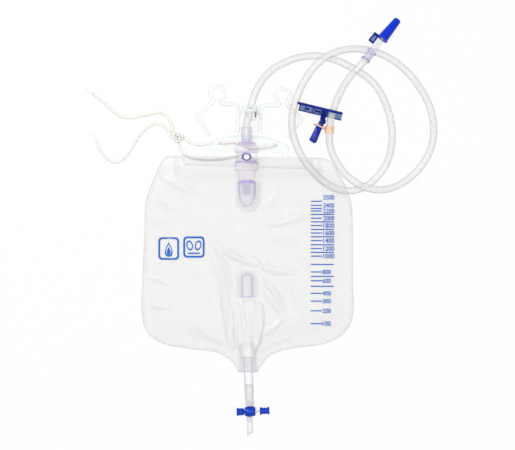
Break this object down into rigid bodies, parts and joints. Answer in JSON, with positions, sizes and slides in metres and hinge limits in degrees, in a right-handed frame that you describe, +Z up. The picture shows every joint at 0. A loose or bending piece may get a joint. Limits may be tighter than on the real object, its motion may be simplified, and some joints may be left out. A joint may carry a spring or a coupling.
{
  "type": "urine drainage bag",
  "caption": "Flat drainage bag with a hanger, a drip chamber and inlet tube, a push-pull outlet valve, a sheet clip and a tie string.",
  "frame": {"origin": "On the table, under the middle of the bag with its hanger and outlet.", "axes": "+X across the bag, +Y up the bag towards its hanger, +Z up from the table on which it lies."},
  "size_m": [0.3943, 0.4676, 0.0262],
  "materials": {
    "clear_film": "gloss",
    "moulded_white": "satin",
    "clear_violet": "gloss",
    "white_filter": "matte",
    "dark_violet": "gloss",
    "soft_violet": "satin",
    "clear_sleeve": "gloss",
    "blue": "gloss",
    "white": "gloss",
    "black_rubber": "matte",
    "clear_tube": "gloss",
    "dark_blue": "gloss",
    "steel": "satin",
    "peach_rubber": "satin",
    "string": "matte",
    "string_tip": "satin"
  },
  "bodies": {
    "bag": {"back_film": "clear_film", "front_film": "clear_film", "hanger": "moulded_white", "inlet_cap": "clear_violet", "drip_chamber": "clear_violet", "vent_filter": "white_filter", "vent_ring": "dark_violet", "inlet_boot": "clear_violet", "non_return_flap": "soft_violet", "spout_pocket": "clear_violet", "outlet_neck": "clear_violet", "outlet_sleeve": "clear_sleeve", "valve_body": "blue", "valve_seal_left": "black_rubber", "valve_seal_right": "black_rubber", "outlet_spout": "clear_sleeve", "drain_tube": "clear_tube", "tube_connector": "clear_violet", "connector_cap": "blue", "sheet_clip_back": "dark_blue", "sheet_clip_pin": "steel", "sheet_clip_spring": "steel", "rubber_band": "peach_rubber", "string_front_run": "string", "string_strand_left": "string", "string_strand_right": "string", "string_tail_a": "string", "string_tail_b": "string", "string_knot": "string", "string_tip_a": "string_tip", "string_tip_b": "string_tip"},
    "plunger": {"valve_plunger": "white", "plunger_knob_left": "blue", "plunger_knob_right": "blue"},
    "clip_lever": {"sheet_clip_front": "dark_blue"}
  },
  "joints": [
    {"name": "valve_slide", "type": "slide", "parent": "bag", "child": "plunger", "axis": [-0.999, -0.0436, 0], "range_m": [0, 0.0047]},
    {"name": "clip_hinge", "type": "hinge", "parent": "bag", "child": "clip_lever", "pos_m": [0.08425, 0.15524, 0.00892], "axis": [0.9645, -0.2244, -0.1392], "range_deg": [0, 8], "stiffness_Nm_per_rad": 0.2, "springref_deg": -11.46}
  ]
}
